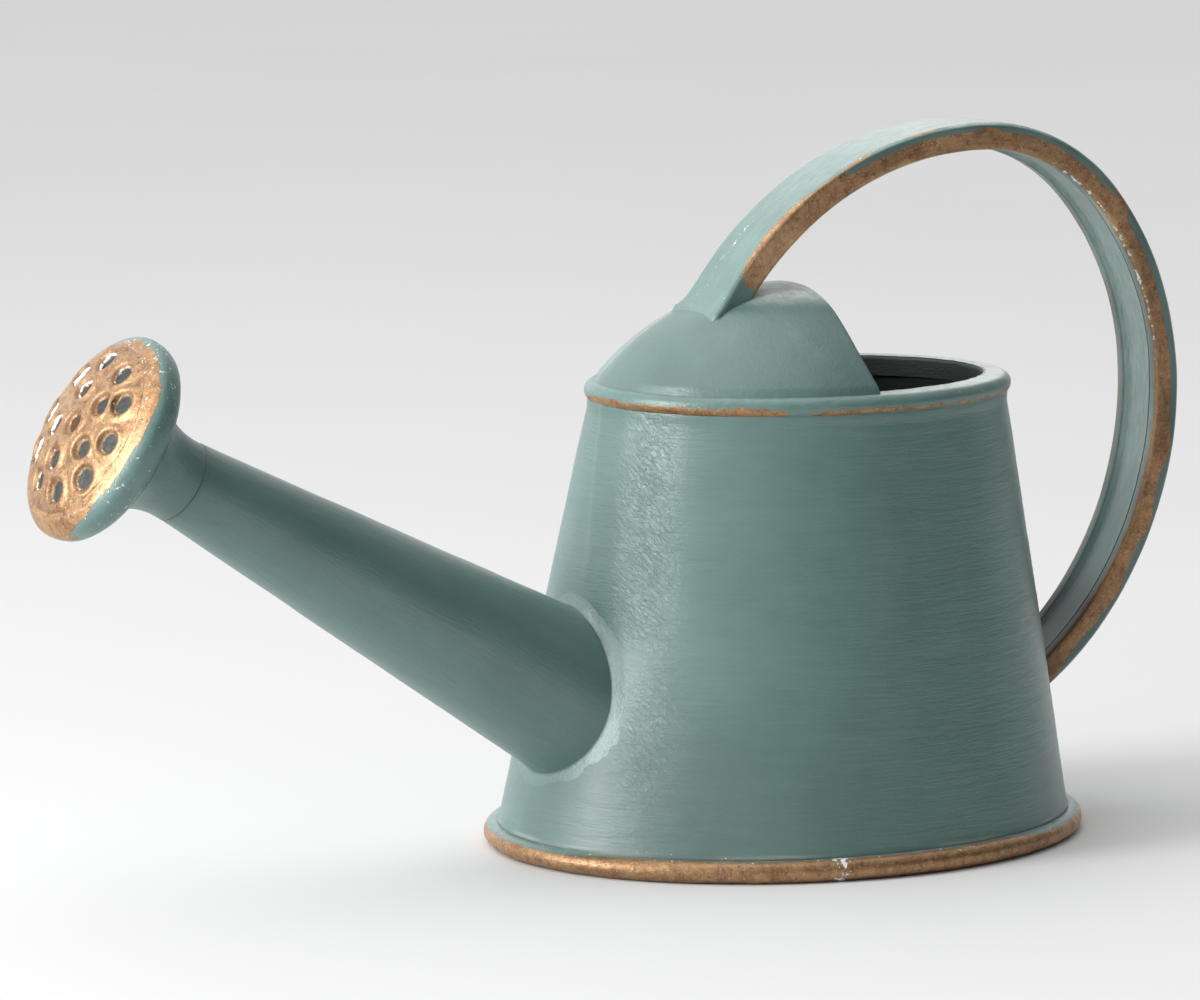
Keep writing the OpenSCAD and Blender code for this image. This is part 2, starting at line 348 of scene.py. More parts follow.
# How strongly the marks colour the paint
SPECK_TINT = 0.35
DAB_HIGHLIGHT_TINT = 0.42
GLINT_TINT = 0.6
SOOT_TINT = 0.55
SKIP_DEPTH = 0.8
GOLD_RAGGEDNESS = 2.6

# Chips start above this level of noise, and full wear lowers it by the second number
CHIP_LEVEL, CHIP_WEAR = 0.80, 0.34

# Roughness from the smoothest to the roughest part of each surface
PAINT_ROUGH = (0.27, 0.42)
GOLD_ROUGH_BELOW, GOLD_ROUGH_ABOVE = 0.10, 0.16
CHIP_ROUGH = 0.72
SHADE_AND_DIRT_ROUGH = 0.62
METAL = (0.55, 0.95)


def painted(name, tint=0.5, gold_rough=0.38, umber=0.0):
    """Satin paint with brush strokes, gold where the gold field is positive, and filler at the chips."""
    s = Shader(bpy.data.materials.new(name))
    flow = s.field("flow")["Vector"]
    where = s.node("TexCoord", {}).outputs["Object"]
    place = s.node("Mapping", {"Vector": where, "Scale": (1 / MM, 1 / MM, 1 / MM)}).outputs[0]
    pale_paint_and_highlight, shade_and_dirt = s.field("pale_paint_and_highlight")["Fac"], s.field("shade_and_dirt")["Fac"]

    # The teal, lighter and darker along the strokes
    strokes = s.noise(flow, 0.9, 4, 0.6, 0.3)
    fine = s.noise(flow, 3.2, 3, 0.6)
    mottle = s.noise(place, 0.12, 3, 0.5)
    grain = s.noise(place, 3.5, 2, 0.6)
    light = s.step(s.add(s.times(strokes, 0.5), s.times(mottle, 0.5)), *LIGHT_AT)
    shade = s.step(s.add(s.times(fine, 0.4), s.times(mottle, 0.6)), *SHADE_AT)
    colour = s.mix(s.times(light, tint), TEAL, TEAL_LIGHT)
    colour = s.mix(s.times(shade, tint), colour, TEAL_DARK)
    specks = s.step(s.noise(place, 7.0, 1, 0.5), *SPECKS_AT)
    colour = s.mix(s.times(specks, SPECK_TINT), colour, TEAL_LIGHT)
    # Pale and rubbed paint in streaks, which also carry painted highlights on tops and crests
    streaks = s.span(s.step(s.noise(flow, 2.6, 4, 0.65), *STREAKS_AT), 0.55, 1.0)
    colour = s.mix(s.times(pale_paint_and_highlight, streaks), colour, RUBBED_AND_SHEEN)
    # Dabs of thick paint, lighter on their crests as a painted highlight
    dabs = s.noise(s.field("dab")["Vector"], 2.3, 4, 0.62, 0.6)
    dabs = s.times(s.field("thick")["Fac"], s.step(dabs, *DABS_AT))
    colour = s.mix(s.times(dabs, DAB_HIGHLIGHT_TINT), colour, DAB_HIGHLIGHT_COLOUR)
    # Painted shade, with some dirt, turns the teal towards near-black
    colour = s.mix(shade_and_dirt, colour, SHADE_AND_DIRT_TEAL)

    # Gold, with a ragged edge, streaks of paint through it and random soot, lighter with rubbed paint and
    # painted highlights, and umber with painted shade
    edge = s.noise(flow, 1.6, 4, 0.65, 0.4)
    raggedness = s.times(s.less(edge, 0.5), GOLD_RAGGEDNESS)
    gold = s.step(s.add(s.field("gold")["Fac"], raggedness), *GOLD_AT)
    skips = s.step(s.noise(flow, 2.4, 4, 0.7), *SKIPS_AT)
    gold = s.math("MULTIPLY", gold, s.less(1.0, s.times(skips, SKIP_DEPTH)), True)
    tone = s.noise(place, 0.5, 6, 0.7, 0.2)
    gold_colour = s.mix(s.step(tone, *BROWN_AT), GOLD, GOLD_BROWN)
    gold_colour = s.mix(s.times(s.step(grain, *GLINTS_AT), GLINT_TINT), gold_colour, GOLD_LIGHT)
    soot = s.step(s.noise(place, 1.1, 5, 0.72), *SOOT_AT)
    gold_colour = s.mix(s.times(soot, SOOT_TINT), gold_colour, UMBER)
    gold_colour = s.mix(umber, gold_colour, UMBER)
    gold_colour = s.mix(pale_paint_and_highlight, gold_colour, GOLD_LIGHT)
    gold_colour = s.mix(shade_and_dirt, gold_colour, UMBER)
    colour = s.mix(gold, colour, gold_colour)

    # Chips down to the white filler, where the wear field allows them
    chip_noise = s.noise(place, 1.5, 5, 0.68)
    limit = s.less(CHIP_LEVEL, s.times(s.field("wear")["Fac"], CHIP_WEAR))
    chips = s.step(s.less(chip_noise, limit), *CHIPS_AT)
    colour = s.mix(chips, colour, FILLER)

    metal = s.times(s.times(gold, s.less(1.0, chips)), s.span(tone, *METAL))
    rough = s.span(fine, *PAINT_ROUGH)
    gold_rough = s.span(grain, gold_rough - GOLD_ROUGH_BELOW, gold_rough + GOLD_ROUGH_ABOVE)
    rough = s.blend(gold, rough, gold_rough)
    rough = s.blend(chips, rough, CHIP_ROUGH)
    rough = s.blend(shade_and_dirt, rough, SHADE_AND_DIRT_ROUGH)

    height = s.add(s.times(strokes, 0.5), s.times(fine, 0.55))
    height = s.add(height, s.times(gold, 0.25))
    height = s.add(height, s.times(dabs, 1.25))
    height = s.less(height, s.times(chips, 0.5))
    normal = s.bump(height, 0.12 * MM, 0.8)
    normal = s.bump(grain, 0.04 * MM, 0.6, normal)
    return s.finish(
        Base_Color=colour, Metallic=metal, Roughness=rough, Normal=normal, Specular_IOR_Level=0.85
    )


body_paint = painted("satin_paint_body", 0.24)
hood_paint = painted("satin_paint_hood", 0.30)
spout_paint = painted("satin_paint_spout", 0.30)
rim_paint = painted("satin_paint_rim", 0.4, 0.44, 0.38)
foot_gold = painted("brushed_gold_foot", 0.5, 0.36, 0.22)
handle_paint = painted("satin_paint_handle", 0.5)
handle_gold = painted("brushed_gold_handle", 0.5, 0.40, 0.10)
rose_paint = painted("satin_paint_rose", 0.45)
rose_gold = painted("brushed_gold_rose", 0.5, 0.36, 0.20)
base_paint = painted("satin_paint_base", 0.6)


# ---------------- the wall


def oval_point(oval, turn, out=0.0):
    """Points on ovals, grown outwards by out."""
    a, b = oval[..., 0] + out, oval[..., 1] + out
    return np.stack([oval[..., 2] + a * np.cos(turn), b * np.sin(turn), oval[..., 3]], -1)


def wall_oval(z):
    """The wall's outer oval at height z."""
    t = (np.asarray(z, float) - wall_foot[3]) / (wall_rim[3] - wall_foot[3])
    return wall_foot + (wall_rim - wall_foot) * t[..., None]


def oval_normal(oval, turn):
    """Level directions square to the ovals."""
    n = np.stack([np.cos(turn) / oval[..., 0], np.sin(turn) / oval[..., 1], np.zeros_like(turn)], -1)
    return n / np.linalg.norm(n, axis=-1, keepdims=True)


def stretched(points, along):
    """Stroke coordinates of strokes that run level, along times longer than they are wide."""
    return np.asarray(points) * np.array([1 / along, 1 / along, 1.0])


# Places on the wall: turns in degrees from the handle, where 180 is the spout and 270 the side
# at -Y, and heights in millimetres
MM_PER_DEGREE = 0.62
MOULD_LINE_TURN = 177.0
DABS_TURN = 203
LOW_DABS_TURN = 212
FOOT_SEAM_HEIGHT = 3.05
RIM_JOINT_HEIGHT = 54.8
UNDER_RIM_HEIGHT = 57.0
SPOUT_TOP_HEIGHT = 32


def dabbed(turn_deg, z):
    """Where the paint is dabbed on thickly: beside the mould line, above and below the spout."""
    high = bell(turn_deg - DABS_TURN + 0.30 * (z - 45), 7.5)
    high = high * smooth((z - 26) / 8) * smooth((UNDER_RIM_HEIGHT - z) / 2)
    low = 0.5 * bell(turn_deg - LOW_DABS_TURN, 7) * bell(z - 17, 8)
    return high + low


def seam_breaks(points):
    """1 where the bead of paint along the foot is whole, 0 where it is broken."""
    return smooth(0.7 + 1.1 * noise(points, 5.3, 23))


def wall_relief(points, turn_deg, z):
    """How far the wall's outer face stands out: undulation, mould line and thick paint."""
    relief = 0.10 * noise(points, 22, 3) + 0.04 * fractal(points, 7, 5, 2)
    # The mould line that runs down the front of the wall
    line = MOULD_LINE_TURN + 0.5 * np.clip(wall_rim[3] - z, 0, 17)
    across = (turn_deg - line) * MM_PER_DEGREE
    relief += 0.16 * bell(across, 1.3) * smooth((z - SPOUT_TOP_HEIGHT) / 8)
    relief += 0.035 * dabbed(turn_deg, z) * fractal(points, 1.5, 11, 2)
    # Level brush strokes, and a broken bead of paint where the wall meets the foot
    relief += 0.018 * fractal(stretched(points, 9), 1.3, 21, 3)
    relief += 0.14 * bell(z - FOOT_SEAM_HEIGHT, 0.28) * seam_breaks(points)
    # The wall swells out to meet the rim
    relief += 0.24 * smooth((z - RIM_JOINT_HEIGHT) / 1.6) * (z < UNDER_RIM_HEIGHT)
    return relief


def make_wall():
    """The wall, with its outer face from the foot up into the rim and its inner face back down."""
    columns, outer_rows, inner_rows = 640, 176, 36
    z = np.concatenate([
        np.linspace(wall_foot[3], wall_rim[3] + 0.9, outer_rows),
        np.linspace(wall_rim[3] - 0.05, wall_foot[3], inner_rows),
    ])
    z, turn = np.meshgrid(z, around(columns), indexing="ij")
    deg = np.degrees(turn)
    inside = np.zeros(z.shape)
    inside[outer_rows:] = 1
    outside = 1 - inside
    oval = wall_oval(z)
    points = oval_point(oval, turn, -WALL_THICKNESS * inside)
    relief = wall_relief(points, deg, z) * outside + 0.15 * noise(points, 9, 8) * inside
    points = points + oval_normal(oval, turn) * relief[..., None]
    wear = 0.12 + 0.25 * bell(z - 3.4, 0.8) + 0.10 * bell(deg - DABS_TURN, 12)
    # The dabs slant down to the right, on a wall about 30 mm in radius
    run = turn * 30
    slant = np.stack([(run * 0.85 - z * 0.5) / 3.5, run * 0.5 + z * 0.85, np.zeros_like(z)], -1)
    # Painted shade low on the left under the spout, and under the rim
    shaded_low_left = 0.34 * bell(deg - LOW_DABS_TURN, 34) * smooth((26 - z) / 14)
    shade_under_rim = 0.06 * bell(z - wall_rim[3], 0.9)
    pale_paint_and_highlight = 0.50 * bell(z - FOOT_SEAM_HEIGHT, 0.24) * seam_breaks(points)
    # Painted highlight on the dabs
    pale_paint_and_highlight = pale_paint_and_highlight + 0.10 * dabbed(deg, z) * smooth(0.5 + 1.2 * noise(slant, 0.8, 29))
    fields = {
        "flow": stretched(points, 12),
        "dab": slant,
        "thick": dabbed(deg, z) * outside,
        "wear": wear * outside,
        "pale_paint_and_highlight": pale_paint_and_highlight * outside,
        # Painted shade inside the can, low on the left, under the rim and at the foot
        "shade_and_dirt": 0.94 * inside + (shaded_low_left + shade_under_rim) * outside + 0.25 * bell(z - wall_foot[3], 0.5),
    }
    return piece(
        "can_wall", points, None, "can",
        ["body_wall"], body_paint, fields,
    )


# Stand-in angles for the parts of a ring past its bead, whose own angles run from -90 to 90
TOP_ANGLE, INNER_EDGE_ANGLE, INNER_FACE_ANGLE, UNDERSIDE_ANGLE = 100, 180, 200, 260


def make_ring(name, node, material, oval, inner_oval, base, tall, reach, paint_rule, lump):
    """A bead round an oval: rounded outside, a flat top, and a rounded inner edge."""
    columns = 720
    turn = around(columns)
    # A row is its share of the way in, its reach, its height and its angle round the bead
    rows = []
    r = tall / 2
    for angle in np.linspace(-90, 90, 23):
        a = math.radians(angle)
        rows.append((0.0, reach - r + r * math.cos(a), base + r + r * math.sin(a), angle))
    for share in np.linspace(0.08, 0.93, 14):
        rows.append((share, reach - r, base + tall, TOP_ANGLE + 60 * share))
    edge = 0.45
    for a in np.radians(np.linspace(90, 180, 6)):
        height = base + tall - edge + edge * math.sin(a)
        rows.append((1.0, edge * (1 + math.cos(a)), height, INNER_EDGE_ANGLE))
    for height in np.linspace(tall - 0.6, 0.0, 5):
        rows.append((1.0, 0.0, base + height, INNER_FACE_ANGLE))
    for share in (0.66, 0.33):
        rows.append((share, reach - r, base, UNDERSIDE_ANGLE))
    points, angles = [], []
    for share, out, height, angle in rows:
        outer = oval_point(np.broadcast_to(oval, (columns, 4)), turn, out if share < 1 else 0)
        inner = oval_point(np.broadcast_to(inner_oval, (columns, 4)), turn, out if share == 1 else 0)
        p = outer * (1 - share) + inner * share
        p[:, 2] = height
        points.append(p)
        angles.append(np.full(columns, angle))
    points, angles = np.array(points), np.array(angles)
    deg = np.degrees(np.broadcast_to(turn, angles.shape))
    outward = oval_normal(np.broadcast_to(oval, angles.shape + (4,)), np.radians(deg))
    lift = np.radians(np.clip(angles, -90, 90))
    normal = outward * np.cos(lift)[..., None] + np.array([0, 0, 1.0]) * np.sin(lift)[..., None]
    shown = (angles < INNER_FACE_ANGLE)[..., None]
    relief = lump * (fractal(points, 5, 31, 3) + 0.5 * noise(points, 1.1, 37)) - 1.2 * lump
    points = points + normal * relief[..., None] * shown
    points[..., 2] = np.maximum(points[..., 2], base)
    fields = paint_rule(points, angles, deg)
    fields["flow"] = stretched(points, 3)
    piece(name, points, None, "can", [node], material, fields)


def rim_fields(points, angle, deg):
    """Gold on the lower half of the rim's bead, in patches; a land lighter with wear and painted sheen,
    most towards the handle on the near side; painted shade in the mouth and under the bead.
    """
    patch = 0.68 + 0.85 * fractal(points, 9, 41, 2) + 0.7 * bell(deg - 196, 22)
    gap = 2.4 * bell(deg - 243.2, 2.2)
    band_middle, band_half = -28, 22
    gold = patch - np.abs(angle - band_middle) / band_half - gap
    right = bell(turn_from(deg, 335), 50)
    shaded_mouth_side = (angle >= INNER_EDGE_ANGLE) & (angle <= INNER_FACE_ANGLE)
    return {
        "gold": np.where(angle < 60, gold, NO_GOLD),
        "wear": 0.16 + 0.30 * right,
        "pale_paint_and_highlight": (0.12 + 1.25 * right) * smooth((angle - 50) / 40) * (angle < INNER_EDGE_ANGLE),
        "shade_and_dirt": 0.92 * shaded_mouth_side + 0.10 * bell(angle + 90, 22),
    }


def foot_fields(points, angle, deg):
    """Gold over the foot's bead with a pale ledge above it, lighter on the upper faces with rubbed paint
    and painted light, and painted shade under the bead and low on the left.
    """
    ends = smooth((np.abs(deg - 250) - 35) / 20)
    gold = 1.6 + 0.4 * fractal(points, 8, 43, 2) - smooth((angle - 84 + 50 * ends) / 26) * 4
    return {
        "gold": np.where(angle < 110, gold, NO_GOLD),
        "wear": 0.34 + 0.5 * bell(deg - 254, 1.5) + 0.20 * bell(angle - 70, 30),
        "pale_paint_and_highlight": 0.10 * smooth((angle - 30) / 40) + 0.30 * bell(angle - 96, 12),
        "shade_and_dirt": 0.30 * bell(angle + 90, 30) + 0.24 * bell(deg - 205, 32) * (angle < 60),
    }


# How far the foot's inner face lies inside the wall's outer one
FOOT_INSET = 1.2

can_wall = make_wall()
make_ring(
    "can_rim", "rim_ring", rim_paint, wall_rim,
    np.array([*mouth_half, rim_shift, 0]),
    rim_low[2], rim_high[2] - rim_low[2], RIM_LEDGE, rim_fields, 0.035,
)
make_ring(
    "can_foot", "foot_ring", foot_gold, wall_foot,
    wall_foot - np.array([FOOT_INSET, FOOT_INSET, 0, 0]),
    foot_low[2], foot_high[2] - foot_low[2], foot_high[0] - wall_foot[0], foot_fields, 0.05,
)


# ---------------- the hood

# Powers of the curved surface: the first rounds its crown, the second its foot
CROWN_POWER, FOOT_POWER = 0.87, 1.86
HOOD_SKIN = 2.0


def crown_curve(rho):
    """The hood's height as a share of its rise, at a share rho of the way out."""
    return np.clip(1 - rho ** (2 / CROWN_POWER), 0, 1) ** (FOOT_POWER / 2)


def past_line(points):
    """How far a point lies past the mould line, on the far side of the hood."""
    return points[..., 1] - 4.6 + 0.22 * (points[..., 2] - 64)


def hood_height(rho, rise):
    """Height of the hood's skin above the rim at a share rho of the way out, with a soft foot."""
    # The last stretch is straight, because the curve would end too steeply
    edge = 0.97
    straight = crown_curve(edge) / (1 - edge) * (1 - rho)
    h = rise * np.where(rho < edge, crown_curve(rho), straight)
    soft = 0.12
    return 0.5 * (h + np.sqrt(h * h + soft * soft)) - 0.45 * smooth((rho - 0.965) / 0.035)


def make_hood():
    """The hood, whose rows run over its outer skin, round one lip, back inside and round the other."""
    turns, rows, lip = 180, 90, 6
    fine_rows = 34
    rho = np.concatenate([np.linspace(0, 0.9, rows - fine_rows), np.linspace(0.9, 1.0, fine_rows + 1)[1:]])
    reach, half = hood_high[0] - hood_low[0] + 0.15, hood_high[1]
    rise = hood_high[2] - hood_low[2]
    x0, z0 = hood_high[0], hood_low[2]
    turn = np.radians(np.linspace(-90, 90, turns))
    r, t = np.meshgrid(rho, turn, indexing="ij")
    outer = np.stack([x0 - reach * r * np.cos(t), half * r * np.sin(t), z0 + hood_height(r, rise)], -1)
    # The open edge leans forward a little half way down each side
    share_up = np.clip((outer[..., 2] - z0) / rise, 0, 1)
    lean = 0.9 * np.sin(np.pi * share_up) * smooth((np.abs(np.degrees(t)) - 55) / 35)
    outer[..., 0] -= lean
    # A mould line on the far side of the hood, and a flat strip beyond it, worn and with painted sheen
    flat = smooth((-6 - outer[..., 0]) / 6) * smooth((outer[..., 2] - 58.8) / 1.5)
    relief = -0.02 * np.clip(past_line(outer), 0, 6) * flat
    relief = relief + 0.10 * noise(outer, 11, 51) + 0.04 * noise(outer, 3.5, 53)
    # No relief at the crown, where all the rows meet in one point
    relief *= smooth((hood_high[2] + 0.1 - outer[..., 2]) / 0.6 + 0.5) * smooth(r / 0.04)
    outward = np.stack([-np.cos(t) * 0.6, np.sin(t) * 0.6, np.full_like(t, 0.8)], -1)
    outer = outer + outward * relief[..., None]
    inner_reach, inner_half = reach - HOOD_SKIN - 0.6, half - HOOD_SKIN
    sink = 1.2
    inner = np.stack([
        x0 - inner_reach * r * np.cos(t) - lean,
        inner_half * r * np.sin(t),
        z0 - sink + (rise - HOOD_SKIN + sink) * crown_curve(r),
    ], -1)
    # A rounded lip joins the two skins along the open rear edge
    share = ((np.arange(lip) + 1) / (lip + 1))[None, :, None]
    bulge = 0.45 * np.sin(np.pi * share) * np.array([1.0, 0, 0])
    right = outer[:, -1:] * (1 - share) + inner[:, -1:] * share + bulge
    left = inner[:, :1] * (1 - share) + outer[:, :1] * share + bulge
    loop = np.concatenate([outer, right, inner[:, ::-1], left], axis=1)
    columns = loop.shape[1]
    faces = grid_faces(rows, columns, False, True).tolist()
    # The underside, between the last row's outer and inner points, and the ends of the lips
    last = (rows - 1) * columns
    first_inner = turns + lip
    for i in range(turns - 1):
        opposite = last + first_inner + turns - 2 - i
        faces.append([last + i, last + i + 1, opposite, opposite + 1])
    for start in (turns - 1, first_inner + turns - 1):
        faces.append([last + (start + k) % columns for k in range(lip + 2)])
    is_inner = np.zeros((rows, columns))
    is_inner[:, first_inner : first_inner + turns] = 1
    across, height = loop[..., 1], loop[..., 2]
    strip = smooth(past_line(loop) / 1.2) * smooth((9 - across) / 3) * smooth((-10 - loop[..., 0]) / 4)
    crown = smooth((height - 68.2) / 1.6)
    # The crown and the strip are lighter with wear and painted sheen; the hood is painted a little darker
    # all over as painted shade, and much darker inside
    fields = {
        "flow": loop * np.array([0.5, 0.18, 0.5]),
        "wear": (0.14 + 0.40 * crown + 0.15 * strip) * (1 - is_inner),
        "pale_paint_and_highlight": (0.30 * strip + 0.85 * crown) * (1 - is_inner),
        "shade_and_dirt": 0.16 + 0.69 * is_inner,
    }
    piece("can_hood", loop, faces, "can", ["hood"], hood_paint, fields, 60)


make_hood()


# ---------------- the spout


def axis_point(station, radius, turn):
    """A point at a distance along the spout's axis; turn 90 degrees is up and 180 is the side at -Y."""
    out = np.cos(turn)[..., None] * SIDE + np.sin(turn)[..., None] * UP
    return spout_origin + AXIS * np.asarray(station)[..., None] + out * np.asarray(radius)[..., None]


def along_and_off(points):
    """Each point's station along the spout's axis, and its offset from that axis."""
    station = (points - spout_origin) @ AXIS
    return station, points - spout_origin - station[..., None] * AXIS


def cone_radius(station):
    """The spout's outer radius."""
    return ROOT_RADIUS + (TIP_RADIUS - ROOT_RADIUS) * station / SPOUT_LENGTH


def root_station(turn, extra):
    """The station at which the cone, grown by extra, meets the wall's outer face."""
    low, high = np.full(turn.shape, -14.0), np.full(turn.shape, 16.0)
    for _ in range(40):
        middle = (low + high) / 2
        p = axis_point(middle, cone_radius(middle) + extra, turn)
        oval = wall_oval(p[..., 2])
        outside = ((p[..., 0] - oval[..., 2]) / oval[..., 0]) ** 2 + (p[..., 1] / oval[..., 1]) ** 2 > 1
        high = np.where(outside, middle, high)
        low = np.where(outside, low, middle)
    return high


def make_spout():
    """The spout with its spigot outside, and its bore back from the tip to the wall."""
    columns, rows = 240, 130
    turn = around(columns)
    start = root_station(turn, 0.0) - 1.2
    share = np.linspace(0, 1, rows) ** 1.1
    s = start[None] + (SPOUT_LENGTH - 0.25 - start[None]) * share[:, None]
    t = np.broadcast_to(turn, s.shape)
    outer = axis_point(s, cone_radius(s), t)
    relief = 0.07 * noise(outer, 15, 61) + 0.03 * noise(outer, 4.5, 63)
    relief += 0.02 * fractal(np.stack([s / 9, 6 * np.cos(t), 6 * np.sin(t)], -1), 1.4, 65, 2)
    outer = axis_point(s, cone_radius(s) + relief, t)
    end = SPOUT_LENGTH + SPIGOT_LENGTH
    profile = [
        (SPOUT_LENGTH - 0.03, TIP_RADIUS - 0.02), (SPOUT_LENGTH, TIP_RADIUS - 0.06),
        (SPOUT_LENGTH, 4.4), (SPOUT_LENGTH, SPIGOT_RADIUS + 0.02), (SPOUT_LENGTH + 0.1, SPIGOT_RADIUS),
        (SPOUT_LENGTH + 2, SPIGOT_RADIUS), (SPOUT_LENGTH + 4, SPIGOT_RADIUS),
        (end - 0.4, SPIGOT_RADIUS), (end - 0.1, SPIGOT_RADIUS - 0.12), (end, SPIGOT_RADIUS - 0.4),
        (end, BORE_RADIUS + 0.2), (end - 0.2, BORE_RADIUS), (SPOUT_LENGTH, BORE_RADIUS),
    ]
    tip = [axis_point(np.full(columns, a), np.full(columns, b), turn) for a, b in profile]
    back = []
    for k in np.linspace(0.15, 1, 10):
        station = SPOUT_LENGTH + (start - SPOUT_LENGTH) * k
        widening = (INLET_RADIUS - BORE_RADIUS) * (SPOUT_LENGTH - station) / SPOUT_LENGTH
        back.append(axis_point(station, BORE_RADIUS + widening, turn))
    points = np.concatenate([outer, np.array(tip), np.array(back)])
    station, off = along_and_off(points)
    in_bore = np.linalg.norm(off, axis=-1) <= 3.2
    shown = np.arange(len(points))[:, None] < rows
    top = bell(turn_from(np.degrees(turn), 100), 20)
    # The top is lighter with wear and painted sheen; the spout is painted a little darker all over, with a
    # dark joint at the tip and painted shade down the bore
    fields = {
        "flow": np.stack([station / 8, off @ SIDE, off @ UP], -1),
        "wear": (0.12 + 0.12 * top) * shown,
        "pale_paint_and_highlight": 0.16 * top * shown,
        "shade_and_dirt": np.where(shown, 0.08 + 0.12 * bell(station - SPOUT_LENGTH, 0.5), 0.3 + 0.5 * in_bore),
    }
    piece(
        "spout", points, None, "can",
        ["spout_tube"], spout_paint, fields,
    )


def make_collar():
    """The rounded ridge round the spout's root, a closed band with its underside in the wall."""
    columns = 300
    turn = around(columns)
    # Points are (distance out from the cone, height over the wall as a share of the crest)
    section = [(-0.25, -0.6), (-0.25, 0.0)]
    for k in np.linspace(0, 1, 16):
        section.append((-0.10 + 2.3 * k, (1 - k) ** 1.2 * smooth(k / 0.14 + 0.3)))
    section.append((2.4, -0.6))
    # The ridge is high above the spout and on its upper right, and all but fades out below
    turn_deg = np.degrees(turn)
    crest_height = 0.10 + 0.42 * bell(turn_deg - 126, 38)
    rows = []
    for extra, height in section:
        flat = np.full(columns, extra)
        station = root_station(turn, flat)
        p = axis_point(station, cone_radius(station) + flat, turn)
        oval = wall_oval(p[..., 2])
        wall_turn = np.arctan2(p[..., 1] / oval[..., 1], (p[..., 0] - oval[..., 2]) / oval[..., 0])
        wave = crest_height * (1 + 0.45 * fractal(p, 3.5, 71, 2)) if height > 0 else np.ones(columns)
        rows.append(p + oval_normal(oval, wall_turn) * (height * wave)[:, None])
    points = np.array(rows)
    out, height = np.array(section).T[..., None]
    crest = np.maximum(0, height) * crest_height / 0.5
    # Painted highlight along the crest, and painted shade in the crease at the spout
    fields = {
        "flow": points * 0.6,
        "wear": 0.12 + 0.42 * crest,
        "pale_paint_and_highlight": 0.30 * crest,
        "shade_and_dirt": 0.55 * bell(out, 0.22) * (1 - crest),
    }
    piece(
        "spout_collar_bead", points, None, "can",
        ["spout_collar"], body_paint, fields, 70,
    )


def pierce_wall(wall):
    """Opens the spout's inlet through the wall, with a round cutter that is then removed."""
    columns = 96
    cutter_start, cutter_end = -14.0, 7.0
    ends = [
        axis_point(np.full(columns, station), np.full(columns, INLET_RADIUS), around(columns))
        for station in (cutter_start, cutter_end)
    ]
    faces = grid_faces(2, columns, False, True).tolist()
    faces += [range(columns), range(columns, 2 * columns)]
    cutter_mesh = new_mesh("inlet_cutter", np.concatenate(ends), faces)
    mend(cutter_mesh)
    cutter = put("inlet_cutter", cutter_mesh)
    cut = wall.modifiers.new("inlet", "BOOLEAN")
    cut.operation, cut.solver, cut.object = "DIFFERENCE", "EXACT", cutter
    bpy.context.view_layer.update()
    made = bpy.data.meshes.new_from_object(wall.evaluated_get(bpy.context.evaluated_depsgraph_get()))
    wall.modifiers.clear()
    wall.data = made
    bpy.data.objects.remove(cutter)
    place = np.empty(len(made.vertices) * 3)
    made.vertices.foreach_get("co", place)
    station, off = along_and_off(place.reshape(-1, 3) / MM)
    near = (np.linalg.norm(off, axis=1) < INLET_RADIUS + 0.02) & (station < cutter_end)
    # The cut edge and its surroundings get painted shade and no wear
    for key, value in {**FIELDS, "shade_and_dirt": 0.9}.items():
        data = made.attributes[key].data
        values = np.empty(len(data))
        data.foreach_get("value", values)
        values[near] = value
        data.foreach_set("value", values)


make_spout()
make_collar()
pierce_wall(can_wall)


# ---------------- the rose

# Stations of the dome's apex, the widest ring, the back of the rose and the flat behind the face
DOME_APEX = 75.8
WIDEST = 71.6
BAND_BACK = 69.1
FACE_BACK = 70.0
DOME_RADIUS = 31.0
FACE_EDGE = 11.0
ROSE_RADIUS = 13.3


def dome_station(r):
    """The dome's station at radius r."""
    return DOME_APEX - DOME_RADIUS + np.sqrt(DOME_RADIUS**2 - r * r)


def bezier(p, count):
    """Points on a cubic curve with these four control points."""
    t = np.linspace(0, 1, count)[:, None]
    p = np.array(p, float)
    return (1 - t) ** 3 * p[0] + 3 * (1 - t) ** 2 * t * p[1] + 3 * (1 - t) * t * t * p[2] + t**3 * p[3]


def spin(profile, columns):
    """Turns a closed profile of (radius, station) points round the spout's axis."""
    radius, station = np.array(profile).T[..., None] * np.ones(columns)
    return axis_point(station, radius, np.broadcast_to(around(columns), radius.shape))


def make_neck():
    """The flared neck, from its seat on the spout's end out to the band, and its socket."""
    seat, bore = SPOUT_LENGTH + 0.05, SPIGOT_RADIUS + 0.05
    profile = [(bore, seat), (TIP_RADIUS - 0.06, seat)]
    profile += [(TIP_RADIUS - 0.02, seat + 0.03), (TIP_RADIUS, seat + 0.3)]
    for a in np.radians(np.linspace(0, 90, 40)):
        profile.append((TIP_RADIUS + 6.9 * (1 - math.cos(a)), 60.4 + 8.7 * math.sin(a)))
    profile += [(11.2, 71.2), (8.0, 71.2), (5.0, 69.0), (bore, 66.7)]
    points = spin(profile, 220)
    station, off = along_and_off(points)
    row = np.indices(station.shape)[0]
    shown = (row > 1) & (row <= 44)
    outward = off / np.linalg.norm(off, axis=-1, keepdims=True)
    points = points + outward * (0.06 * noise(points, 5, 81) * shown)[..., None]
    # The neck is painted a little darker all over, with a dark joint at its seat and painted shade on its
    # hidden inside
    fields = {
        "flow": np.stack([station / 5, off @ SIDE, off @ UP], -1),
        "wear": 0.18 * shown,
        "pale_paint_and_highlight": 0.10 * bell(station - 66.5, 2) * shown,
        "shade_and_dirt": 0.12 + 0.10 * bell(station - SPOUT_LENGTH, 0.5) + 0.25 * ~shown,
    }
    piece(
        "rose_flare", points, None, "rose",
        ["rose_neck"], rose_paint, fields,
    )


